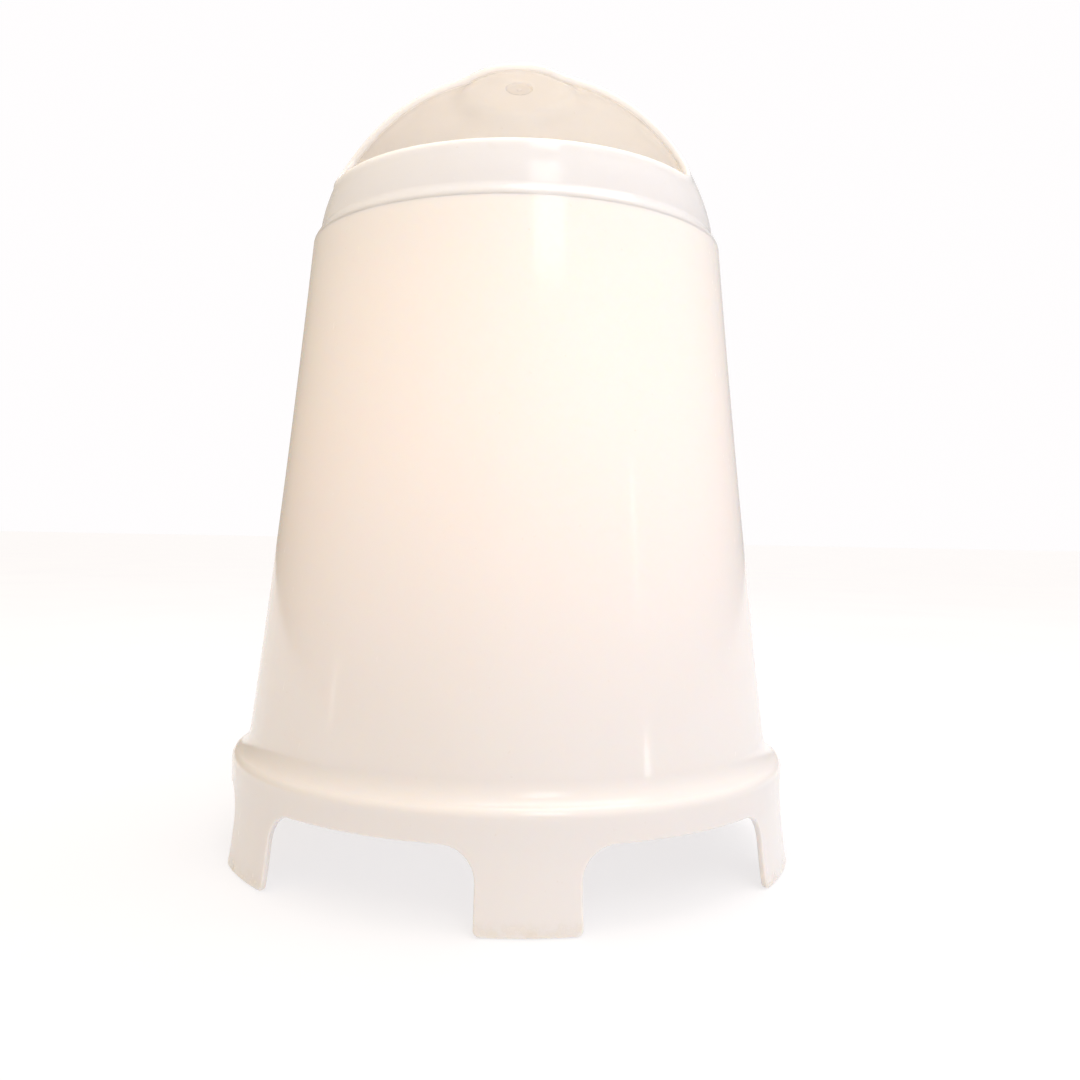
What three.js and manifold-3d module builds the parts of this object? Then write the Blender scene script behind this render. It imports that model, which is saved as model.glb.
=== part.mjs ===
// A free-standing feeder hood in translucent moulded plastic: a tapered hopper on a collar with
// six feet, and a lift-off cap whose domed hood is open at the front as a filling mouth.
//
// Millimetres, +Z up. The origin is on the ground, on the hood's axis, and the front is -Y.
// Neighbouring pieces of one moulding meet face to face across a gap of JOINT.

import * as THREE from "three";
import { mergeVertices } from "three/addons/utils/BufferGeometryUtils.js";
import Module from "manifold-3d";

// ---------- driving dimensions ----------

const COLLAR_R = 150; // outer radius of the collar, the widest part above the feet
const WALL = 3; // thickness of every moulded wall
const JOINT = 0.3; // clear gap between neighbouring pieces
const SEGMENTS = 72; // facets round a full turn

const FEET = 6;
const FOOT_HEIGHT = 36.8;
const FOOT_HALF_WIDTH = 23;
const FOOT_FLARE = 4; // how far a foot's tip stands out past the collar
const FOOT_FLARE_POWER = 1.5;
const FOOT_FILLET = 15.5; // radius between a foot's side and the collar's lower edge
const FOOT_CORNER = 3; // radius of a foot's lower corners
const FOOT_LAND = 0.5; // height of the blunt edge that ends the fillet
const FOOT_COLUMNS = 10;

const COLLAR_TOP = 47.5; // where the collar's straight band meets the shoulder
const SHOULDER_ROUND = 5; // radius of the shoulder's outer edge
const SHOULDER_TOP = 56; // where the shoulder meets the hopper wall
const SHOULDER_DROP = 2.5; // how far the shoulder slopes down to its rounded edge

const HOPPER_BASE_R = 141.6; // outer radius of the wall at the shoulder
const HOPPER_MOUTH_R = 112.2; // outer radius of the wall at its mouth
const HOPPER_BOW = 1.1; // how far the wall hollows in from a straight taper at mid height
const HOPPER_TOP = 323.5;

const SKIRT_R = 108.6; // plugs into the mouth, which is 109.2 inside
const SKIRT_DEPTH = 26;
const SKIRT_CHAMFER_IN = 1; // the skirt's lower edge leads in by this much over this height
const SKIRT_CHAMFER_UP = 2;
const FLANGE_HEIGHT = 2.5; // the flange rests on the hopper's rim
const FLANGE_CHAMFER = 1;

const CAP_R = 108.8; // outer radius of the cap where its dome begins
const DOME_BASE = 327; // height at which the dome starts to curve in
const CAP_RISE = 92.2; // height of the dome above its base
const DOME_RISE_POWER = 1.6; // these two powers shape the dome's outline
const DOME_RADIUS_POWER = 2.27;
const CAP_TURN = -10; // degrees the cap is turned on its seat, seen from above
const SILL = 352.5; // height of the filling mouth's front edge
const MOUTH_SETBACK = 28.5; // the hood's front edge stands this far in front of the axis
const MOUTH_CORNER = 24; // radius between the sill and the hood's front edge

const PAD_R = 34; // round pad embossed on the dome's pole
const PAD_HEIGHT = 4.2;
const PAD_CHAMFER = 1.5;
const PAD_HOLLOW_R = 26; // the emboss is hollow under this radius
const BOSS_R = 8; // moulding gate's boss under the pole
const BOSS_DEPTH = 1.2;
const BOSS_CHAMFER = 0.6;

// ---------- materials ----------

const ivory = new THREE.MeshStandardMaterial({ color: 0xfaf1e6, roughness: 0.28, metalness: 0 });
const warmIvory = new THREE.MeshStandardMaterial({ color: 0xf3e4d0, roughness: 0.34, metalness: 0 });

// ---------- helpers ----------

const wasm = await Module();
wasm.setup();

// Turns a closed profile of [radius, height] points about the Z axis. The profile is listed
// anticlockwise, with the radius to the right and the height up.
function turned(profile) {
  const points = profile.map(([r, z]) => new THREE.Vector2(r, z));
  if (profile[0][0] > 0) {
    points.push(points[0].clone());
  }
  return new THREE.LatheGeometry(points, SEGMENTS).rotateX(Math.PI / 2);
}

function toSolid(geometry) {
  const bare = geometry.clone();
  bare.deleteAttribute("normal");
  bare.deleteAttribute("uv");
  const merged = mergeVertices(bare, 1e-4);
  const mesh = new wasm.Mesh({
    numProp: 3,
    vertProperties: new Float32Array(merged.attributes.position.array),
    triVerts: new Uint32Array(merged.index.array),
  });
  return new wasm.Manifold(mesh);
}

function toGeometry(solid) {
  const { vertProperties, triVerts } = solid.getMesh();
  const geometry = new THREE.BufferGeometry();
  geometry.setAttribute("position", new THREE.BufferAttribute(vertProperties, 3));
  geometry.setIndex(new THREE.BufferAttribute(triVerts, 1));
  geometry.computeVertexNormals();
  return geometry;
}

// Evenly spaced values from first to last, both included.
function steps(first, last, count) {
  return Array.from({ length: count + 1 }, (_, i) => first + ((last - first) * i) / count);
}

// Points on an arc, as [radius, height], from one angle to another in degrees.
function arc(centreR, centreZ, radius, from, to, count) {
  return steps(from, to, count).map((degrees) => {
    const angle = THREE.MathUtils.degToRad(degrees);
    return [centreR + radius * Math.cos(angle), centreZ + radius * Math.sin(angle)];
  });
}

function named(name, geometry, material) {
  const mesh = new THREE.Mesh(geometry, material.clone());
  mesh.name = name;
  return mesh;
}

// ---------- hopper ----------

function hopperWall() {
  const bottom = SHOULDER_TOP + JOINT;
  const outer = steps(0, 1, 4).map((share) => {
    const straight = HOPPER_BASE_R + (HOPPER_MOUTH_R - HOPPER_BASE_R) * share;
    return [straight - 4 * HOPPER_BOW * share * (1 - share), bottom + (HOPPER_TOP - bottom) * share];
  });
  const inner = outer.map(([r, z]) => [r - WALL, z]);
  return turned([...outer, ...inner.reverse()]);
}

// The sloping ledge between the collar and the wall, with a rounded outer edge.
function shoulderRing() {
  const edgeR = COLLAR_R - SHOULDER_ROUND;
  const top = SHOULDER_TOP - SHOULDER_DROP;
  const centreZ = top - SHOULDER_ROUND;
  const outer = arc(edgeR, centreZ, SHOULDER_ROUND, 0, 90, 4);
  const inner = arc(edgeR, centreZ, SHOULDER_ROUND - WALL, 90, 0, 2);
  return turned([
    [COLLAR_R - WALL, COLLAR_TOP + JOINT],
    [COLLAR_R, COLLAR_TOP + JOINT],
    ...outer.slice(1),
    [HOPPER_BASE_R, SHOULDER_TOP],
    [HOPPER_BASE_R - WALL, SHOULDER_TOP],
    [HOPPER_BASE_R - WALL, SHOULDER_TOP - WALL],
    ...inner.slice(0, -1),
  ]);
}

function collarBand() {
  return turned([
    [COLLAR_R - WALL, FOOT_HEIGHT],
    [COLLAR_R, FOOT_HEIGHT],
    [COLLAR_R, COLLAR_TOP],
    [COLLAR_R - WALL, COLLAR_TOP],
  ]);
}

// The heights and half widths of a foot, from its rounded tip up to the fillet's blunt edge.
function footRows() {
  const top = FOOT_HEIGHT - JOINT;
  const filletZ = top - FOOT_LAND - FOOT_FILLET;
  const tip = steps(0, 90, 3).map((degrees) => {
    const angle = THREE.MathUtils.degToRad(degrees);
    return [FOOT_CORNER * (1 - Math.cos(angle)), FOOT_HALF_WIDTH - FOOT_CORNER * (1 - Math.sin(angle))];
  });
  const fillet = steps(0, 90, 6).map((degrees) => {
    const angle = THREE.MathUtils.degToRad(degrees);
    return [filletZ + FOOT_FILLET * Math.sin(angle), FOOT_HALF_WIDTH + FOOT_FILLET * (1 - Math.cos(angle))];
  });
  const middle = [[(FOOT_CORNER + filletZ) / 2, FOOT_HALF_WIDTH]];
  return [...tip, ...middle, ...fillet, [top, FOOT_HALF_WIDTH + FOOT_FILLET]];
}

// One foot: a plate that follows the collar's curve and flares out towards its tip. It is centred
// on -Y, and its outer and inner faces are two grids joined round their edges.
function foot() {
  const rows = footRows();
  const columns = FOOT_COLUMNS + 1;
  const face = rows.length * columns;
  const positions = [];
  for (const inset of [0, WALL]) {
    for (const [z, halfWidth] of rows) {
      const flare = FOOT_FLARE * (1 - z / FOOT_HEIGHT) ** FOOT_FLARE_POWER;
      const r = COLLAR_R + flare - inset;
      for (const across of steps(-1, 1, FOOT_COLUMNS)) {
        const angle = (across * halfWidth) / COLLAR_R;
        positions.push(r * Math.sin(angle), -r * Math.cos(angle), z);
      }
    }
  }
  const indices = [];
  const quad = (a, b, c, d) => indices.push(a, b, c, a, c, d);
  for (let row = 0; row < rows.length - 1; row += 1) {
    for (let column = 0; column < FOOT_COLUMNS; column += 1) {
      const a = row * columns + column;
      quad(a, a + 1, a + 1 + columns, a + columns);
      quad(face + a, face + a + columns, face + a + 1 + columns, face + a + 1);
    }
    const left = row * columns;
    const right = left + FOOT_COLUMNS;
    quad(left, left + columns, face + left + columns, face + left);
    quad(right, face + right, face + right + columns, right + columns);
  }
  const lastRow = (rows.length - 1) * columns;
  for (let column = 0; column < FOOT_COLUMNS; column += 1) {
    const top = lastRow + column;
    quad(column, face + column, face + column + 1, column + 1);
    quad(top, top + 1, face + top + 1, face + top);
  }
  const geometry = new THREE.BufferGeometry();
  geometry.setAttribute("position", new THREE.Float32BufferAttribute(positions, 3));
  geometry.setIndex(indices);
  geometry.computeVertexNormals();
  return geometry;
}

// ---------- cap ----------

// Radius of the dome's outer face at a height, or of its inner face with inset = WALL.
function domeRadius(z, inset = 0) {
  const share = Math.max(0, (z - DOME_BASE) / (CAP_RISE - inset));
  return (CAP_R - inset) * Math.max(0, 1 - share ** DOME_RISE_POWER) ** (1 / DOME_RADIUS_POWER);
}

// Height of the dome's outer or inner face at a radius.
function domeHeight(r, inset = 0) {
  const share = (1 - (r / (CAP_R - inset)) ** DOME_RADIUS_POWER) ** (1 / DOME_RISE_POWER);
  return DOME_BASE + (CAP_RISE - inset) * share;
}

// A stretch of the dome's wall between two heights, each face with its own points.
function domeWall(from, to, count) {
  const heights = steps(from, to, count);
  const outer = heights.map((z) => [domeRadius(z), z]);
  const inner = heights.map((z) => [domeRadius(z, WALL), z]);
  return [outer, inner.reverse()];
}

function capSkirt() {
  return turned([
    [SKIRT_R - WALL, HOPPER_TOP - SKIRT_DEPTH],
    [SKIRT_R - SKIRT_CHAMFER_IN, HOPPER_TOP - SKIRT_DEPTH],
    [SKIRT_R, HOPPER_TOP - SKIRT_DEPTH + SKIRT_CHAMFER_UP],
    [SKIRT_R, HOPPER_TOP],
    [SKIRT_R - WALL, HOPPER_TOP],
  ]);
}

function capFlange() {
  const bottom = HOPPER_TOP + JOINT;
  const top = bottom + FLANGE_HEIGHT;
  const rim = HOPPER_MOUTH_R;
  return turned([
    [SKIRT_R - WALL, bottom],
    [rim, bottom],
    [rim, top - FLANGE_CHAMFER],
    [rim - FLANGE_CHAMFER, top],
    [SKIRT_R - WALL, top],
  ]);
}

function capNeck() {
  const [outer, inner] = domeWall(HOPPER_TOP + FLANGE_HEIGHT + 2 * JOINT, SILL, 4);
  return turned([...outer, ...inner]);
}

// The space in front of the hood's edge and above the sill, which the filling mouth takes away.
function mouthCutter() {
  const reach = 2 * COLLAR_R;
  const outline = new THREE.Shape();
  outline.moveTo(-reach, SILL);
  outline.lineTo(-MOUTH_SETBACK - MOUTH_CORNER, SILL);
  outline.absarc(-MOUTH_SETBACK - MOUTH_CORNER, SILL + MOUTH_CORNER, MOUTH_CORNER, -Math.PI / 2, 0);
  outline.lineTo(-MOUTH_SETBACK, SILL + reach);
  outline.lineTo(-reach, SILL + reach);
  outline.closePath();
  const geometry = new THREE.ExtrudeGeometry(outline, {
    depth: 2 * reach,
    bevelEnabled: false,
    curveSegments: 8,
  });
  const axes = new THREE.Matrix4().makeBasis(
    new THREE.Vector3(0, 1, 0),
    new THREE.Vector3(0, 0, 1),
    new THREE.Vector3(1, 0, 0),
  );
  return toSolid(geometry.applyMatrix4(axes).translate(-reach, 0, 0));
}

const mouth = mouthCutter();

// The dome above the sill, open in front for the filling mouth and at the pole under the pad.
function capHood() {
  const face = (inset) => {
    const edge = domeRadius(SILL + JOINT, inset);
    const last = THREE.MathUtils.radToDeg(Math.acos(PAD_HOLLOW_R / edge));
    return steps(0, last, 9).map((degrees) => {
      const r = edge * Math.cos(THREE.MathUtils.degToRad(degrees));
      return [r, domeHeight(r, inset)];
    });
  };
  return toGeometry(toSolid(turned([...face(0), ...face(WALL).reverse()])).subtract(mouth));
}

function gatePad() {
  const under = steps(0, PAD_R, 3).map((r) => [r, domeHeight(r) + JOINT]);
  const over = steps(PAD_R - PAD_CHAMFER, 0, 3).map((r) => [r, domeHeight(r) + PAD_HEIGHT]);
  const edge = [[PAD_R, domeHeight(PAD_R) + PAD_HEIGHT / 2]];
  return toGeometry(toSolid(turned([...under, ...edge, ...over])).subtract(mouth));
}

function gateBoss() {
  const top = domeHeight(BOSS_R);
  const bottom = top - BOSS_DEPTH;
  return turned([
    [0, bottom],
    [BOSS_R - BOSS_CHAMFER, bottom],
    [BOSS_R, bottom + BOSS_CHAMFER],
    [BOSS_R, top],
    [0, top],
  ]);
}

// ---------- assembly ----------

const hopper = new THREE.Group();
hopper.add(named("hopper_wall", hopperWall(), ivory));
hopper.add(named("shoulder_ring", shoulderRing(), ivory));
hopper.add(named("collar_band", collarBand(), ivory));
for (let i = 0; i < FEET; i += 1) {
  const piece = named(`foot_${i + 1}`, foot(), ivory);
  piece.rotation.z = (i * 2 * Math.PI) / FEET;
  hopper.add(piece);
}

const cap = new THREE.Group();
cap.rotation.z = THREE.MathUtils.degToRad(CAP_TURN);
cap.add(named("cap_skirt", capSkirt(), ivory));
cap.add(named("cap_flange", capFlange(), ivory));
cap.add(named("cap_neck", capNeck(), ivory));
cap.add(named("cap_hood", capHood(), warmIvory));
cap.add(named("gate_pad", gatePad(), warmIvory));
cap.add(named("gate_boss", gateBoss(), warmIvory));

const feederHood = new THREE.Group();
feederHood.add(hopper, cap);

export default feederHood;
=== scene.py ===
"""Feeder hood in translucent ivory plastic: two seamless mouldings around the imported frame.

Metres, +Z up, front is -Y. The hopper moulding holds the wall, shoulder, collar and six feet;
the cap moulding holds the skirt, flange, neck and the domed hood with its open front.
"""

import math

import bmesh
import bpy
from mathutils import Matrix, Vector
from mathutils.geometry import delaunay_2d_cdt


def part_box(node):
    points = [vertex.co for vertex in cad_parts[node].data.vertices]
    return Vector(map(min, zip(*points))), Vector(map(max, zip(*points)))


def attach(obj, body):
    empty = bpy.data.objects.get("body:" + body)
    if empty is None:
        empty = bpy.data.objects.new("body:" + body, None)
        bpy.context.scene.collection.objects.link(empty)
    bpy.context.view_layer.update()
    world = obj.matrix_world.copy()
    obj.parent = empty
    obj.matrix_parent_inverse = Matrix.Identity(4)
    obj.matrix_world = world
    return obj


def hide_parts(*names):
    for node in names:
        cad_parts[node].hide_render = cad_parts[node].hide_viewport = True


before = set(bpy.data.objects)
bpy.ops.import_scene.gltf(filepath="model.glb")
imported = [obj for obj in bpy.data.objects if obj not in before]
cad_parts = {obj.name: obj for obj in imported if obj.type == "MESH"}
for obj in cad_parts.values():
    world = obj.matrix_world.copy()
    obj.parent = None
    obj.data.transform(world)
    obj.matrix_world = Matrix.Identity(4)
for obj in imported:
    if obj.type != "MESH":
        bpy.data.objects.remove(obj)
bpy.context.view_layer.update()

MM = 0.001

# ---------- dimensions, from the frame where it holds them ----------

WALL = 3.0 * MM
EDGE = 0.9 * MM  # rounding of every free edge

COLLAR_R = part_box("collar_band")[1].x
FOOT_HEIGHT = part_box("collar_band")[0].z
BAND_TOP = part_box("collar_band")[1].z
FEET = 6
FOOT_HALF_WIDTH = 23.0 * MM
FOOT_FILLET = 15.5 * MM  # rounding between a foot's side and the gap's top
FOOT_CORNER = 3.0 * MM
FOOT_FLARE = -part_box("foot_1")[0].y - COLLAR_R  # how far the feet's tips splay out
FLARE_POWER = 1.5

SHOULDER_ROUND = 5.0 * MM
SHOULDER_DROP = 2.8 * MM  # how far the shoulder's flat lies below the wall's foot
SHOULDER_TURN = 72  # degrees of the shoulder's rounding before the sweep up to the wall
SWEEP_RISE = 6.5 * MM  # height at which that sweep has become the wall
SWEEP_OUT = 0.2 * MM  # where the sweep's bend lies off the wall's foot
SWEEP_DOWN = 0.3 * MM
SHOULDER_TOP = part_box("hopper_wall")[0].z
HOPPER_BASE_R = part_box("hopper_wall")[1].x
HOPPER_MOUTH_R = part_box("cap_flange")[1].x
HOPPER_BOW = 1.1 * MM  # how far the wall bows inwards at half its height
HOPPER_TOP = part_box("hopper_wall")[1].z
RIM_ROUND = 0.06 * MM

SKIRT_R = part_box("cap_skirt")[1].x
SKIRT_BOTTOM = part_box("cap_skirt")[0].z
CAP_R = 108.8 * MM
DOME_BASE = 327.0 * MM
CAP_RISE = 92.2 * MM
DOME_RISE_POWER = 1.6
DOME_RADIUS_POWER = 2.27
CAP_TURN = math.radians(-10)
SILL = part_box("cap_neck")[1].z
MOUTH_SETBACK = 28.5 * MM
MOUTH_CORNER = 24.0 * MM
MOUTH_LIP = 0.7 * MM  # how far the mouth's edge is lifted off the dome's face
STEP_RISE = 7.5 * MM  # height of the flange's soft step, from the wall's rim up
PAD_R = 34.0 * MM
PAD_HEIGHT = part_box("gate_pad")[1].z - DOME_BASE - CAP_RISE
PAD_SLOPE = 13.0 * MM  # width of the smooth step up to the pad
BOSS_R = 8.0 * MM
BOSS_DEPTH = 1.0 * MM
NIB_R = 1.1 * MM  # broken-off gate at the middle of the boss
NIB_DEPTH = 0.5 * MM
SEAM_GAP = 0.01 * MM  # what stays open between the hopper's mouth and the cap's flange

SECTOR_COLUMNS = 40  # columns of faces between the middles of two gaps
COLUMNS = FEET * SECTOR_COLUMNS
DOME_STEPS = 400
RING_GAP = 4.0 * MM  # between the rings of points on the dome


# ---------- mesh helpers ----------

CDT_WELD = 1e-6  # millimetres
WELD = 2e-6  # metres

def steps(first, last, count):
    """Evenly spaced values from first to last, both included."""
    return [first + (last - first) * i / count for i in range(count + 1)]


def arc(centre, radius, start, end, count):
    """Points (r, z) on an arc between two angles in degrees."""
    return [
        (
            centre[0] + radius * math.cos(math.radians(a)),
            centre[1] + radius * math.sin(math.radians(a)),
        )
        for a in steps(start, end, count)
    ]


def smooth_step(x):
    """0 below 0, 1 above 1, and an even S between."""
    x = min(1.0, max(0.0, x))
    return x * x * (3 - 2 * x)


def inside(point, polygon):
    """Whether a 2-D point lies in a polygon."""
    x, y = point
    hit = False
    for (x0, y0), (x1, y1) in zip(polygon, polygon[1:] + polygon[:1]):
        if (y0 > y) != (y1 > y) and x < x0 + (y - y0) * (x1 - x0) / (y1 - y0):
            hit = not hit
    return hit


def triangulate(points, chains, outline, holes=()):
    """Constrained triangles over 2-D points in millimetres: chains are index lists kept as edges,
    outline and holes are index loops that bound what is kept."""
    edges = [(a, b) for chain in chains for a, b in zip(chain, chain[1:])]
    found = delaunay_2d_cdt([Vector(p) for p in points], edges, [], 0, CDT_WELD)
    kept_points, triangles, origin = found[0], found[2], found[3]
    border = [points[i] for i in outline]
    voids = [[points[i] for i in hole] for hole in holes]
    kept = []
    for triangle in triangles:
        x = sum(kept_points[i][0] for i in triangle) / 3
        y = sum(kept_points[i][1] for i in triangle) / 3
        if inside((x, y), border) and not any(inside((x, y), v) for v in voids):
            kept.append([origin[i][0] for i in triangle])
    return kept


class Net:
    """Vertices and faces of one piece as it is put together."""

    def __init__(self):
        self.points = []
        self.faces = []

    def add(self, points):
        first = len(self.points)
        self.points.extend(points)
        return list(range(first, first + len(points)))

    def bridge(self, lower, upper, closed=True):
        """Quads between two index rows of the same length."""
        count = len(lower)
        for i in range(count if closed else count - 1):
            j = (i + 1) % count
            self.faces.append([lower[i], lower[j], upper[j], upper[i]])

    def build(self, name):
        mesh = bpy.data.meshes.new(name)
        mesh.from_pydata([tuple(p) for p in self.points], [], self.faces)
        mesh.validate()
        piece = bpy.data.objects.new(name, mesh)
        bpy.context.scene.collection.objects.link(piece)
        weld_and_smooth(piece)
        return piece


def weld_and_smooth(piece):
    """Welds shared points, turns the faces outwards and shades them smooth."""
    work = bmesh.new()
    work.from_mesh(piece.data)
    bmesh.ops.remove_doubles(work, verts=work.verts, dist=WELD)
    bmesh.ops.dissolve_degenerate(work, edges=work.edges, dist=WELD)
    bmesh.ops.recalc_face_normals(work, faces=work.faces)
    for face in work.faces:
        face.smooth = True
    work.to_mesh(piece.data)
    work.free()
    weighted = piece.modifiers.new("even_shading", "WEIGHTED_NORMAL")
    weighted.keep_sharp = False
    weighted.weight = 50


def edge_profile():
    """(inset, depth) across a free edge, from the outer face to the inner face."""
    turn = [math.radians(a) for a in steps(0, 90, 4)]
    outer = [(EDGE * (1 - math.sin(a)), EDGE * (1 - math.cos(a))) for a in turn]
    inner = [(EDGE * (1 - math.cos(a)), WALL - EDGE * (1 - math.sin(a))) for a in turn]
    return outer + inner


# ---------- hopper moulding ----------


def foot_flare(z):
    """How far the feet stand out from the collar at a height."""
    return FOOT_FLARE * max(0.0, 1 - z / FOOT_HEIGHT) ** FLARE_POWER


def on_collar(u, z, depth, sector):
    """A point of the collar and feet, from its arc length u off the foot's middle."""
    angle = u / COLLAR_R + sector * 2 * math.pi / FEET
    r = COLLAR_R + foot_flare(z) - depth
    return (r * math.sin(angle), -r * math.cos(angle), z)


def foot_edge():
    """The lower edge of one sector from left to right, as (point, direction into the plastic)."""
    half = math.pi * COLLAR_R / FEET
    reach = FOOT_HALF_WIDTH + FOOT_FILLET
    spacing = 3.5 * MM
    right = []
    for u in steps(half, reach, max(2, round((half - reach) / spacing))):
        right.append(((u, FOOT_HEIGHT), (0.0, 1.0)))
    fillet_z = FOOT_HEIGHT - FOOT_FILLET
    for a in steps(90, 180, 12)[1:]:
        c, s = math.cos(math.radians(a)), math.sin(math.radians(a))
        right.append(((reach + FOOT_FILLET * c, fillet_z + FOOT_FILLET * s), (c, s)))
    for z in steps(fillet_z, FOOT_CORNER, 6)[1:]:
        right.append(((FOOT_HALF_WIDTH, z), (-1.0, 0.0)))
    flat = FOOT_HALF_WIDTH - FOOT_CORNER
    for a in steps(0, -90, 6)[1:]:
        c, s = math.cos(math.radians(a)), math.sin(math.radians(a))
        right.append(((flat + FOOT_CORNER * c, FOOT_CORNER + FOOT_CORNER * s), (-c, -s)))
    for u in steps(flat, 0, 6)[1:]:
        right.append(((u, 0.0), (0.0, 1.0)))
    left = [((-u, z), (-nu, nz)) for (u, z), (nu, nz) in right[:-1]]
    return left + right[::-1]


def sector_sheet():
    """The flat layout of one sector: points (u, z), triangles, its lower edge, and that edge's
    first row of points."""
    edge = foot_edge()
    half = math.pi * COLLAR_R / FEET
    band_row = FOOT_HEIGHT + 7.2 * MM
    foot_middle = 17.5 * MM
    points = []
    chains = []

    def chain(row):
        first = len(points)
        points.extend(row)
        indices = list(range(first, len(points)))
        chains.append(indices)
        return indices

    rows = []
    for inset in (EDGE, 2.0 * MM, 4.2 * MM):
        usable = [(p, n) for p, n in edge if inset < FOOT_CORNER or not near_corner(p)]
        rows.append(chain([(p[0] + n[0] * inset, p[1] + n[1] * inset) for p, n in usable]))
    top = chain([(u, BAND_TOP) for u in steps(-half, half, SECTOR_COLUMNS)])
    chain([(u, band_row) for u in steps(-half, half, SECTOR_COLUMNS)])
    for z in steps(6 * MM, FOOT_HEIGHT, 8):
        points.extend((u, z) for u in steps(-foot_middle, foot_middle, 8))
    flat = [(u / MM, z / MM) for u, z in points]
    triangles = triangulate(flat, chains, rows[0] + top[::-1])
    return points, triangles, edge, rows[0]


def near_corner(point):
    """Whether a point of the foot's edge is on its lower corner, which a deep inset would fold."""
    u, z = point
    slack = 1e-9
    return abs(u) > FOOT_HALF_WIDTH - FOOT_CORNER - slack and z < FOOT_CORNER + slack


def sweep(start, bend, end, t):
    """A point (r, z) on a curve from start to end that is drawn towards bend."""
    return tuple(start * (1 - t) ** 2 + bend * 2 * t * (1 - t) + end * t**2)


def wall_outline():
    """The hopper's section from the top of the collar's band, over the mouth, and back inside."""
    rise = HOPPER_TOP - SHOULDER_TOP
    centre = (COLLAR_R - SHOULDER_ROUND, SHOULDER_TOP - SHOULDER_DROP - SHOULDER_ROUND)
    outer = arc(centre, SHOULDER_ROUND, 0, SHOULDER_TURN, 8)
    start = Vector(outer[-1])
    foot_share = SWEEP_RISE / rise
    rim_share = 1 - 2 * RIM_ROUND / rise
    wall_foot = Vector((wall_radius(foot_share), SHOULDER_TOP + SWEEP_RISE))
    bend = Vector((HOPPER_BASE_R + SWEEP_OUT, SHOULDER_TOP - SWEEP_DOWN))
    outer += [sweep(start, bend, wall_foot, t) for t in steps(0, 1, 8)[1:]]
    for share in steps(foot_share, rim_share, 30)[1:]:
        outer.append((wall_radius(share), SHOULDER_TOP + rise * share))
    lip_r, lip_z = HOPPER_MOUTH_R - RIM_ROUND, HOPPER_TOP - RIM_ROUND
    mouth = arc((lip_r, lip_z), RIM_ROUND, 0, 90, 3)
    mouth += arc((HOPPER_MOUTH_R - WALL + RIM_ROUND, lip_z), RIM_ROUND, 90, 180, 3)
    inner = []
    for share in steps(rim_share, foot_share, 30):
        inner.append((wall_radius(share) - WALL, SHOULDER_TOP + rise * share))
    start = Vector(inner[-1])
    bend = Vector((HOPPER_BASE_R - WALL + SWEEP_OUT, SHOULDER_TOP - WALL - SWEEP_DOWN))
    shoulder = arc(centre, SHOULDER_ROUND - WALL, SHOULDER_TURN, 0, 5)
    inner += [sweep(start, bend, Vector(shoulder[0]), t) for t in steps(0, 1, 6)[1:-1]]
    inner += shoulder
    return [(COLLAR_R, BAND_TOP)] + outer + mouth + inner + [(COLLAR_R - WALL, BAND_TOP)]


def wall_radius(share):
    """The wall's outer radius at a share of its height."""
    straight = HOPPER_BASE_R + (HOPPER_MOUTH_R - HOPPER_BASE_R) * share
    return straight - 4 * HOPPER_BOW * share * (1 - share)


def hopper_shell():
    """The wall, shoulder, collar and six feet as one closed skin."""
    net = Net()
    points, triangles, edge, lower = sector_sheet()
    rim = edge_profile()
    for sector in range(FEET):
        outer = net.add([on_collar(u, z, 0.0, sector) for u, z in points])
        inner = net.add([on_collar(u, z, WALL, sector) for u, z in points])
        for a, b, c in triangles:
            net.faces.append([outer[a], outer[b], outer[c]])
            net.faces.append([inner[c], inner[b], inner[a]])
        previous = [outer[i] for i in lower]
        for inset, depth in rim[1:-1]:
            row = [(p[0] + n[0] * inset, p[1] + n[1] * inset) for p, n in edge]
            following = net.add([on_collar(u, z, depth, sector) for u, z in row])
            net.bridge(previous, following, closed=False)
            previous = following
        net.bridge(previous, [inner[i] for i in lower], closed=False)
    turns = [2 * math.pi * (i - SECTOR_COLUMNS / 2) / COLUMNS for i in range(COLUMNS)]
    previous = None
    for r, z in wall_outline():
        row = net.add([(r * math.sin(a), -r * math.cos(a), z) for a in turns])
        if previous:
            net.bridge(previous, row)
        previous = row
    return net.build("hopper_shell")


# ---------- cap moulding ----------


def dome_profile():
    """(s, r, z, normal r, normal z) along the dome from its pole to its base."""
    raw = []
    for t in steps(0, math.pi / 2, DOME_STEPS):
        r = CAP_R * math.sin(t) ** (2 / DOME_RADIUS_POWER)
        z = DOME_BASE + CAP_RISE * max(0.0, math.cos(t)) ** (2 / DOME_RISE_POWER)
        z += PAD_HEIGHT * smooth_step((PAD_R + PAD_SLOPE / 2 - r) / PAD_SLOPE)
        raw.append((r, z))
    rows = []
    length = 0.0
    for i, (r, z) in enumerate(raw):
        if i:
            length += math.dist(raw[i - 1], (r, z))
        before, after = raw[max(0, i - 1)], raw[min(len(raw) - 1, i + 1)]
        dr, dz = after[0] - before[0], after[1] - before[1]
        size = math.hypot(dr, dz)
        nr, nz = (-dz / size, dr / size) if i else (0.0, 1.0)
        rows.append((length, r, z, nr, nz))
    return rows


DOME = dome_profile()


def dome_span(column, value):
    """The two neighbouring rows of DOME whose values in a rising column hold the given one."""
    low, high = 0, len(DOME) - 1
    while high - low > 1:
        middle = (low + high) // 2
        if DOME[middle][column] <= value:
            low = middle
        else:
            high = middle
    return DOME[low], DOME[high]


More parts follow.
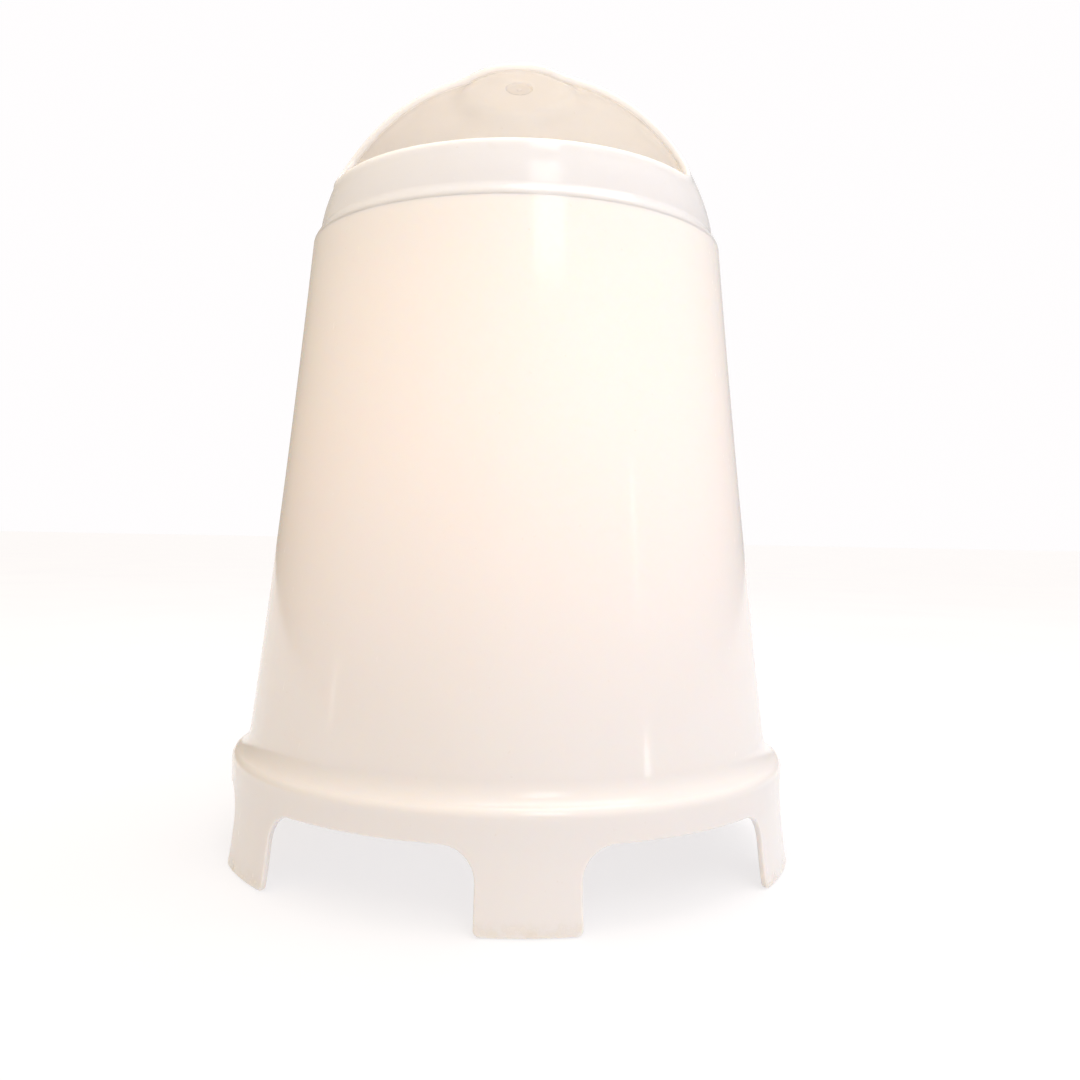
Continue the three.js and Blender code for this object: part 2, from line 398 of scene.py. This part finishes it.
def dome_at(s):
    """r, z and normal at an arc length from the pole."""
    s = min(max(s, 0.0), DOME[-1][0])
    a, b = dome_span(0, s)
    t = (s - a[0]) / (b[0] - a[0])
    return [a[i] + (b[i] - a[i]) * t for i in (1, 2, 3, 4)]


def length_at_radius(r):
    """Arc length from the pole to the dome's circle of a radius."""
    a, b = dome_span(1, r)
    return a[0] + (b[0] - a[0]) * (r - a[1]) / (b[1] - a[1])


def dome_length(r, z):
    """Arc length of the profile's point nearest to (r, z)."""
    i = min(range(len(DOME)), key=lambda k: (DOME[k][1] - r) ** 2 + (DOME[k][2] - z) ** 2)
    best = None
    for j in (max(0, i - 1), min(len(DOME) - 2, i)):
        a, b = Vector(DOME[j][1:3]), Vector(DOME[j + 1][1:3])
        along = b - a
        t = min(1.0, max(0.0, (Vector((r, z)) - a).dot(along) / along.length_squared))
        gap = (a + along * t - Vector((r, z))).length
        if best is None or gap < best[0]:
            best = (gap, DOME[j][0] + (DOME[j + 1][0] - DOME[j][0]) * t)
    return best[1]


def on_dome(s, angle, depth):
    """A point depth below the dome's outer face; angle is from -Y, towards +X."""
    r, z, nr, nz = dome_at(s)
    r -= nr * depth
    z -= nz * depth
    return Vector((r * math.sin(angle), -r * math.cos(angle), z))


def dome_radius(z):
    """The dome's outer radius at a height, without its pad."""
    share = max(0.0, (z - DOME_BASE) / CAP_RISE)
    return CAP_R * (1 - share**DOME_RISE_POWER) ** (1 / DOME_RADIUS_POWER)


def mouth_curve():
    """The filling mouth's edge as a closed loop of (s, angle): sill, corners and front edge."""
    sill_r = dome_radius(SILL)
    corner_y = MOUTH_SETBACK + MOUTH_CORNER
    first = math.acos(corner_y / sill_r)
    sill_s = dome_length(sill_r, SILL)
    loop = [(sill_s, a) for a in steps(-first, first, 44)]
    side = []
    for b in steps(-90, 0, 14)[1:]:
        y = corner_y - MOUTH_CORNER * math.cos(math.radians(b))
        z = SILL + MOUTH_CORNER + MOUTH_CORNER * math.sin(math.radians(b))
        r = dome_radius(z)
        side.append((dome_length(r, z), math.acos(y / r)))
    start_x = math.sin(side[-1][1]) * dome_at(side[-1][0])[0]
    front = []
    for x in steps(start_x, -start_x, 48)[1:-1]:
        s = length_at_radius(math.hypot(x, MOUTH_SETBACK))
        front.append((s, math.atan2(x, MOUTH_SETBACK)))
    return loop + side + front + [(s, -a) for s, a in side[::-1]]


def mouth_rows(insets):
    """The mouth's edge moved into the plastic by each inset, as rows of (s, angle)."""
    loop = mouth_curve()
    places = [on_dome(s, a, 0.0) for s, a in loop]
    count = len(loop)
    rows = []
    for inset in insets:
        row = []
        for i, (s, a) in enumerate(loop):
            r, z, nr, nz = dome_at(s)
            normal = Vector((nr * math.sin(a), -nr * math.cos(a), nz))
            along = (places[(i + 1) % count] - places[i - 1]).normalized()
            into = along.cross(normal).normalized()
            spot = places[i] + into * inset
            length = dome_length(math.hypot(spot.x, spot.y), spot.z)
            row.append((length, math.atan2(spot.x, -spot.y)))
        rows.append(row)
    return rows


def flange_step(z):
    """How far the flange's soft step stands out from the dome at a height."""
    return (HOPPER_MOUTH_R - CAP_R) * smooth_step((HOPPER_TOP + STEP_RISE - z) / STEP_RISE)


def widened(spot):
    """A point of the dome's outer face, moved out by the flange's step."""
    r = math.hypot(spot.x, spot.y)
    share = 1 + flange_step(spot.z) / r if r > PAD_R else 1.0
    return Vector((spot.x * share, spot.y * share, spot.z))


def cap_section():
    """The cap's section below its dome: the rest of the flange's step, then the skirt, outside
    and in."""
    under = HOPPER_TOP + SEAM_GAP
    lead = 2 * MM  # height of the taper at the skirt's lower edge
    tip_round = 0.8 * MM
    out = [(CAP_R + flange_step(z), z) for z in steps(DOME_BASE, under + RIM_ROUND, 8)[1:-1]]
    out += arc((HOPPER_MOUTH_R - RIM_ROUND, under + RIM_ROUND), RIM_ROUND, 0, -90, 3)
    out += [(SKIRT_R, under), (SKIRT_R, HOPPER_TOP - 2 * MM)]
    out += [(SKIRT_R, SKIRT_BOTTOM + lead), (SKIRT_R - 0.5 * MM, SKIRT_BOTTOM + 0.5 * MM)]
    out += arc((SKIRT_R - WALL / 2, SKIRT_BOTTOM + tip_round), tip_round, -30, -150, 4)
    out += [(SKIRT_R - WALL, SKIRT_BOTTOM + lead), (SKIRT_R - WALL, HOPPER_TOP - 1 * MM)]
    return out


def dome_rings():
    """(arc length, number of points) of each ring of the dome, from its pole: close together
    over the gate boss and above the flange, and evenly spread between."""
    end = DOME[-1][0]
    boss_end = BOSS_R + 4 * MM
    nib_end = NIB_R + 1 * MM
    lengths = [0.0, 0.6 * MM, NIB_R, NIB_R + 0.5 * MM, 3.6 * MM, 5.6 * MM]
    lengths += [BOSS_R + off * MM for off in (-0.8, -0.3, 0.0, 0.5, 2.2)]
    count = int(end / RING_GAP)
    lengths += [end * k / count for k in range(count) if end * k / count > boss_end]
    lengths += [end - 2.8 * MM, end - 1.4 * MM]
    rings = []
    for s in lengths:
        if s == 0:
            around = 1
        elif s < boss_end:
            around = 12 if s < nib_end else 48
        else:
            around = max(12, 12 * round(2 * math.pi * dome_at(s)[0] / (RING_GAP * 12)))
        rings.append((s, around))
    return rings


def cap_shell():
    """The skirt, flange, neck and domed hood with its open front as one closed skin."""
    net = Net()
    end = DOME[-1][0]
    points = []
    chains = []
    lifts = []

    def chain(row, lift=0.0):
        first = len(points)
        points.extend(row)
        lifts.extend([lift] * len(row))
        indices = list(range(first, len(points)))
        chains.append(indices + indices[:1])
        return indices

    rows = mouth_rows([EDGE, 2.2 * MM, 4.6 * MM, 8.0 * MM])
    hole = chain(rows[0], MOUTH_LIP)
    chain(rows[1], MOUTH_LIP)
    chain(rows[2])
    guard = chain(rows[3])
    turns = [2 * math.pi * i / COLUMNS for i in range(COLUMNS)]
    bottom = chain([(end, a) for a in turns])
    guard_loop = [flat_place(*points[i]) for i in guard]
    for s, around in dome_rings():
        for i in range(around):
            spot = (s, 2 * math.pi * i / around)
            if not inside(flat_place(*spot), guard_loop):
                points.append(spot)
                lifts.append(0.0)
    flat = [flat_place(s, a) for s, a in points]
    triangles = triangulate(flat, chains, bottom, [hole])
    raised = [on_dome(s, a, -lift) for (s, a), lift in zip(points, lifts)]
    outer = net.add([widened(spot) for spot in raised])
    inner = net.add([on_dome(s, a, WALL + boss_depth(s)) for s, a in points])
    for a, b, c in triangles:
        net.faces.append([outer[a], outer[b], outer[c]])
        net.faces.append([inner[c], inner[b], inner[a]])
    previous = [outer[i] for i in hole]
    for inset, depth in edge_profile()[1:-1]:
        lifted = depth - MOUTH_LIP * (1 - depth / WALL)
        row = mouth_rows([inset])[0]
        following = net.add([on_dome(s, a, lifted) for s, a in row])
        net.bridge(previous, following)
        previous = following
    net.bridge(previous, [inner[i] for i in hole])
    previous = [outer[i] for i in bottom]
    for r, z in cap_section():
        following = net.add([(r * math.sin(a), -r * math.cos(a), z) for a in turns])
        net.bridge(previous, following)
        previous = following
    net.bridge(previous, [inner[i] for i in bottom])
    piece = net.build("cap_shell")
    piece.data.transform(Matrix.Rotation(CAP_TURN, 4, "Z"))
    return piece


def boss_depth(s):
    """How far the gate boss and its nib stand down from the dome's inner face."""
    boss = BOSS_DEPTH * smooth_step((BOSS_R - s) / (0.8 * MM))
    nib = NIB_DEPTH * smooth_step((NIB_R + 0.5 * MM - s) / (0.9 * MM))
    return boss + nib


def flat_place(s, angle):
    """The dome laid flat, in millimetres."""
    return (s / MM * math.sin(angle), -s / MM * math.cos(angle))


# ---------- materials ----------

LOW_SHADE = (0.81, 0.855, 0.885)  # painted shade: how much darker and cooler the plastic is painted towards the floor
LOW_SHADE_TOP = 0.26  # metres above the ground at which that begins to show, and is full
LOW_SHADE_FULL = 0.03
SCUFF = (0.70, 0.66, 0.61)  # patches rubbed dull at the feet's tips
SCUFF_TOP = 0.009
SCUFF_ROUGHNESS = 0.50
SCRATCH_ROUGHNESS = 0.30
BACKDROP = (1.0, 0.985, 0.99, 1.0)

class Nodes:
    """A short way to add and join shader nodes."""

    def __init__(self, name):
        self.material = bpy.data.materials.new(name)
        self.material.use_nodes = True
        self.tree = self.material.node_tree
        self.shader = self.tree.nodes["Principled BSDF"]

    def add(self, kind, **values):
        node = self.tree.nodes.new(kind)
        for key, value in values.items():
            if key.startswith("in_"):
                node.inputs[key[3:].replace("_", " ")].default_value = value
            else:
                setattr(node, key, value)
        return node

    def link(self, source, target):
        self.tree.links.new(source, target)


def ramp(kit, source, stops):
    """A colour ramp with (place, colour) stops, fed by a socket."""
    node = kit.add("ShaderNodeValToRGB")
    elements = node.color_ramp.elements
    while len(elements) < len(stops):
        elements.new(0.5)
    for element, (place, colour) in zip(elements, stops):
        element.position = place
        element.color = (*colour, 1.0)
    kit.link(source, node.inputs["Fac"])
    return node


def mix_colours(kit, first, second, factor, blend="MIX"):
    """Two colour sockets mixed by a number or by another socket."""
    node = kit.add("ShaderNodeMix", data_type="RGBA", blend_type=blend)
    if isinstance(factor, float):
        node.inputs["Factor"].default_value = factor
    else:
        kit.link(factor, node.inputs["Factor"])
    for source, target in ((first, node.inputs["A"]), (second, node.inputs["B"])):
        if isinstance(source, tuple):
            target.default_value = (*source, 1.0)
        else:
            kit.link(source, target)
    return node.outputs["Result"]


def moulded_plastic(name, pale, deep, depth):
    """Glossy translucent moulded plastic: slow cloudy flow in the colour, painted shade that
    darkens it low down, fine specks, soft ripples, orange peel and faint scuffs."""
    kit = Nodes(name)
    place = kit.add("ShaderNodeTexCoord").outputs["Object"]
    stretch = kit.add("ShaderNodeMapping", vector_type="POINT")
    stretch.inputs["Scale"].default_value = (1.0, 1.0, 0.45)
    kit.link(place, stretch.inputs["Vector"])
    drawn = stretch.outputs["Vector"]

    def noise(scale, detail, roughness, vector=place):
        node = kit.add("ShaderNodeTexNoise", in_Scale=scale, in_Detail=detail)
        node.inputs["Roughness"].default_value = roughness
        kit.link(vector, node.inputs["Vector"])
        return node.outputs["Fac"]

    flow = ramp(kit, noise(7.0, 3.0, 0.5, drawn), [(0.25, deep), (0.75, pale)])
    clean, speck = (1.0, 1.0, 1.0), (0.86, 0.80, 0.72)
    specks = ramp(kit, noise(380.0, 2.0, 0.6), [(0.72, clean), (0.80, speck)])
    tint = mix_colours(kit, flow.outputs["Color"], specks.outputs["Color"], 0.35, "MULTIPLY")
    height = kit.add("ShaderNodeSeparateXYZ")
    kit.link(place, height.inputs[0])
    # painted shade: the colour is darkened and cooled from 0.26 m down to the floor, in place of
    # dimmer light low down
    low = kit.add("ShaderNodeMapRange", interpolation_type="SMOOTHSTEP")
    low.inputs["From Min"].default_value = LOW_SHADE_TOP
    low.inputs["From Max"].default_value = LOW_SHADE_FULL
    kit.link(height.outputs["Z"], low.inputs["Value"])
    low_shaded = mix_colours(kit, tint, LOW_SHADE, 1.0, "MULTIPLY")
    colour = mix_colours(kit, tint, low_shaded, low.outputs["Result"])
    tip = kit.add("ShaderNodeMapRange", interpolation_type="SMOOTHSTEP")
    tip.inputs["From Min"].default_value = SCUFF_TOP
    tip.inputs["From Max"].default_value = 0.0
    kit.link(height.outputs["Z"], tip.inputs["Value"])
    patch = ramp(kit, noise(140.0, 4.0, 0.7), [(0.42, (0.0,) * 3), (0.62, (1.0,) * 3)])
    scuffed = kit.add("ShaderNodeMath", operation="MULTIPLY")
    kit.link(tip.outputs["Result"], scuffed.inputs[0])
    kit.link(patch.outputs["Color"], scuffed.inputs[1])
    rubbed = mix_colours(kit, colour, SCUFF, scuffed.outputs["Value"])
    kit.link(rubbed, kit.shader.inputs["Base Color"])

    rub = kit.add("ShaderNodeMapping", vector_type="POINT")
    rub.inputs["Rotation"].default_value = (0.0, 0.35, 0.0)
    rub.inputs["Scale"].default_value = (1.0, 1.0, 0.06)
    kit.link(place, rub.inputs["Vector"])
    cloudy = ramp(kit, noise(48.0, 6.0, 0.65, drawn), [(0.35, (0.09,) * 3), (0.80, (0.19,) * 3)])
    lines = noise(900.0, 3.0, 0.6, rub.outputs["Vector"])
    scratch = ramp(kit, lines, [(0.66, (0.0,) * 3), (0.74, (1.0,) * 3)])
    scratched = (SCRATCH_ROUGHNESS,) * 3
    dull = mix_colours(kit, cloudy.outputs["Color"], scratched, scratch.outputs["Color"])
    roughness = mix_colours(kit, dull, (SCUFF_ROUGHNESS,) * 3, scuffed.outputs["Value"])
    kit.link(roughness, kit.shader.inputs["Roughness"])

    fine = kit.add("ShaderNodeBump", in_Strength=0.12, in_Distance=0.00006)
    kit.link(noise(300.0, 2.0, 0.5), fine.inputs["Height"])
    broad = kit.add("ShaderNodeBump", in_Strength=0.35, in_Distance=0.0008)
    kit.link(noise(14.0, 2.0, 0.5, drawn), broad.inputs["Height"])
    kit.link(fine.outputs["Normal"], broad.inputs["Normal"])
    kit.link(broad.outputs["Normal"], kit.shader.inputs["Normal"])

    shader = kit.shader.inputs
    shader["Subsurface Weight"].default_value = 0.7
    shader["Subsurface Radius"].default_value = (1.0, 0.82, 0.62)
    shader["Subsurface Scale"].default_value = depth
    shader["IOR"].default_value = 1.46
    shader["Specular IOR Level"].default_value = 0.42
    shader["Coat Weight"].default_value = 0.05
    shader["Coat Roughness"].default_value = 0.05
    return kit.material


def floor_material():
    """A pale sweep under strong light: barely clouded, and bright enough to meet the backdrop."""
    kit = Nodes("pale_floor")
    place = kit.add("ShaderNodeTexCoord")
    noise = kit.add("ShaderNodeTexNoise", in_Scale=3.0, in_Detail=3.0)
    kit.link(place.outputs["Object"], noise.inputs["Vector"])
    darker, paler = (0.26, 0.262, 0.27), (0.28, 0.282, 0.29)
    tint = ramp(kit, noise.outputs["Fac"], [(0.3, darker), (0.7, paler)])
    kit.link(tint.outputs["Color"], kit.shader.inputs["Base Color"])
    kit.shader.inputs["Roughness"].default_value = 0.7
    kit.shader.inputs["Specular IOR Level"].default_value = 0.1
    kit.shader.inputs["Emission Color"].default_value = BACKDROP
    kit.shader.inputs["Emission Strength"].default_value = 0.68
    return kit.material


# ---------- the object ----------

# pale and deeper tone, and how far light spreads inside the plastic
hopper_plastic = moulded_plastic(
    "hopper_plastic", (0.938, 0.862, 0.835), (0.928, 0.845, 0.80), 0.0026
)
# painted light: the cap is the same plastic as the hopper, given a paler colour so the shaded
# inside of the hood reads lighter
cap_plastic = moulded_plastic("cap_plastic", (0.970, 0.898, 0.864), (0.960, 0.882, 0.834), 0.032)

hopper = hopper_shell()
hopper.data.materials.append(hopper_plastic)
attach(hopper, "hopper")
feet = [f"foot_{i + 1}" for i in range(FEET)]
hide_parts("hopper_wall", "shoulder_ring", "collar_band", *feet)

cap = cap_shell()
cap.data.materials.append(cap_plastic)
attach(cap, "cap")
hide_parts("cap_skirt", "cap_flange", "cap_neck", "cap_hood", "gate_pad", "gate_boss")


# ---------- floor, light and camera ----------

# room light from the left (0) to the right (1)
ROOM = [
    (0.0, (0.44, 0.32, 0.14)),
    (0.28, (0.78, 0.67, 0.52)),
    (0.5, (0.98, 0.92, 0.87)),
    (0.75, (0.96, 0.93, 0.91)),
    (1.0, (0.70, 0.67, 0.66)),
]
ROOM_LOW = 0.88  # how bright the room is at floor level, and overhead
ROOM_HIGH = 1.80
ROOM_BACK = 0.60  # share of that light left behind the hood

AIM_HEIGHT = 0.22  # where the lights point on the hood's axis
FLOOR_SIZE = 30.0
FLOOR_DROP = 0.0005  # keeps the floor's face off the feet's tips

def make_floor():
    """A wide pale floor just under the feet."""
    mesh = bpy.data.meshes.new("floor")
    corners = [(x * FLOOR_SIZE, y * FLOOR_SIZE, 0) for x, y in ((-1, -1), (1, -1), (1, 1), (-1, 1))]
    mesh.from_pydata(corners, [], [(0, 1, 2, 3)])
    floor = bpy.data.objects.new("floor", mesh)
    floor.location.z = -FLOOR_DROP
    bpy.context.scene.collection.objects.link(floor)
    floor.data.materials.append(floor_material())


def softbox(name, azimuth, elevation, distance, width, height, power, colour):
    """A rectangular light aimed at the hood; azimuth is from -Y, towards +X."""
    target = Vector((0, 0, AIM_HEIGHT))
    a, e = math.radians(azimuth), math.radians(elevation)
    back = Vector((math.sin(a) * math.cos(e), -math.cos(a) * math.cos(e), math.sin(e)))
    data = bpy.data.lights.new(name, "AREA")
    data.shape = "RECTANGLE"
    data.size = width
    data.size_y = height
    data.energy = power
    data.color = colour
    light = bpy.data.objects.new(name, data)
    light.location = target + back * distance
    light.rotation_euler = back.to_track_quat("Z", "Y").to_euler()
    light.visible_camera = False
    bpy.context.scene.collection.objects.link(light)


def make_world():
    """A pale room around the hood: dim and warm on the left, full in front, cooler on the right.
    The backdrop itself stays plain white from every side."""
    world = bpy.data.worlds.new("studio")
    bpy.context.scene.world = world
    world.use_nodes = True
    tree = world.node_tree
    link = tree.links.new
    place = tree.nodes.new("ShaderNodeTexCoord")
    split = tree.nodes.new("ShaderNodeSeparateXYZ")
    link(place.outputs["Generated"], split.inputs[0])

    def spread(axis, start, end, first, last, kind="SMOOTHSTEP"):
        """A value that goes from first to last as the direction's part on an axis does from
        start to end."""
        node = tree.nodes.new("ShaderNodeMapRange")
        node.interpolation_type = kind
        values = {"From Min": start, "From Max": end, "To Min": first, "To Max": last}
        for key, value in values.items():
            node.inputs[key].default_value = value
        link(split.outputs[axis], node.inputs["Value"])
        return node.outputs["Result"]

    room = tree.nodes.new("ShaderNodeValToRGB")
    elements = room.color_ramp.elements
    while len(elements) < len(ROOM):
        elements.new(0.5)
    for element, (position, colour) in zip(elements, ROOM):
        element.position = position
        element.color = (*colour, 1.0)
    link(spread("X", -1.0, 1.0, 0.0, 1.0, "LINEAR"), room.inputs["Fac"])
    level = tree.nodes.new("ShaderNodeMath")
    level.operation = "MULTIPLY"
    link(spread("Z", 0.15, 0.95, ROOM_LOW, ROOM_HIGH), level.inputs[0])
    link(spread("Y", -0.3, 0.6, 1.0, ROOM_BACK), level.inputs[1])
    lit = tree.nodes.new("ShaderNodeVectorMath")
    lit.operation = "SCALE"
    link(room.outputs["Color"], lit.inputs[0])
    link(level.outputs["Value"], lit.inputs["Scale"])
    path = tree.nodes.new("ShaderNodeLightPath")
    mix = tree.nodes.new("ShaderNodeMix")
    mix.data_type = "RGBA"
    mix.inputs["B"].default_value = BACKDROP
    link(path.outputs["Is Camera Ray"], mix.inputs["Factor"])
    link(lit.outputs["Vector"], mix.inputs["A"])
    link(mix.outputs["Result"], tree.nodes["Background"].inputs["Color"])


def make_camera():
    """The viewpoint: close, a little left of the front foot, below half the hood's height."""
    azimuth = math.radians(-4.0)
    pitch = math.radians(-0.28)
    roll = math.radians(1.10)
    distance = 3.839 * COLLAR_R
    height = 1.120 * COLLAR_R
    data = bpy.data.cameras.new("view")
    data.sensor_width = 36.0
    data.lens = 33.93
    data.shift_x = 0.0272
    data.clip_start = 0.01
    camera = bpy.data.objects.new("view", data)
    away = Vector((math.sin(azimuth), -math.cos(azimuth), 0))
    forward = (-away * math.cos(pitch) + Vector((0, 0, math.sin(pitch)))).normalized()
    level = forward.cross(Vector((0, 0, 1))).normalized()
    upright = level.cross(forward)
    right = level * math.cos(roll) + upright * math.sin(roll)
    up = upright * math.cos(roll) - level * math.sin(roll)
    turn = Matrix((right, up, -forward)).transposed()
    place = Matrix.Translation(away * distance + Vector((0, 0, height)))
    camera.matrix_world = place @ turn.to_4x4()
    bpy.context.scene.collection.objects.link(camera)
    bpy.context.scene.camera = camera


make_floor()
make_world()
softbox("overhead", 120.0, 78.0, 1.8, 1.3, 1.3, 14.0, (1.0, 0.97, 0.94))
softbox("window", 13.0, 38.0, 1.6, 0.38, 0.66, 2.9, (1.0, 0.99, 0.97))
softbox("side_window", 53.0, 8.0, 1.6, 0.05, 0.30, 0.10, (1.0, 0.99, 0.98))
softbox("low_window", 53.5, -5.8, 1.6, 0.06, 0.06, 0.09, (1.0, 0.99, 0.98))
softbox("left_slit", -81.0, -3.5, 1.6, 0.05, 0.09, 0.04, (1.0, 0.97, 0.92))
make_camera()
bpy.context.scene.view_settings.view_transform = "Standard"
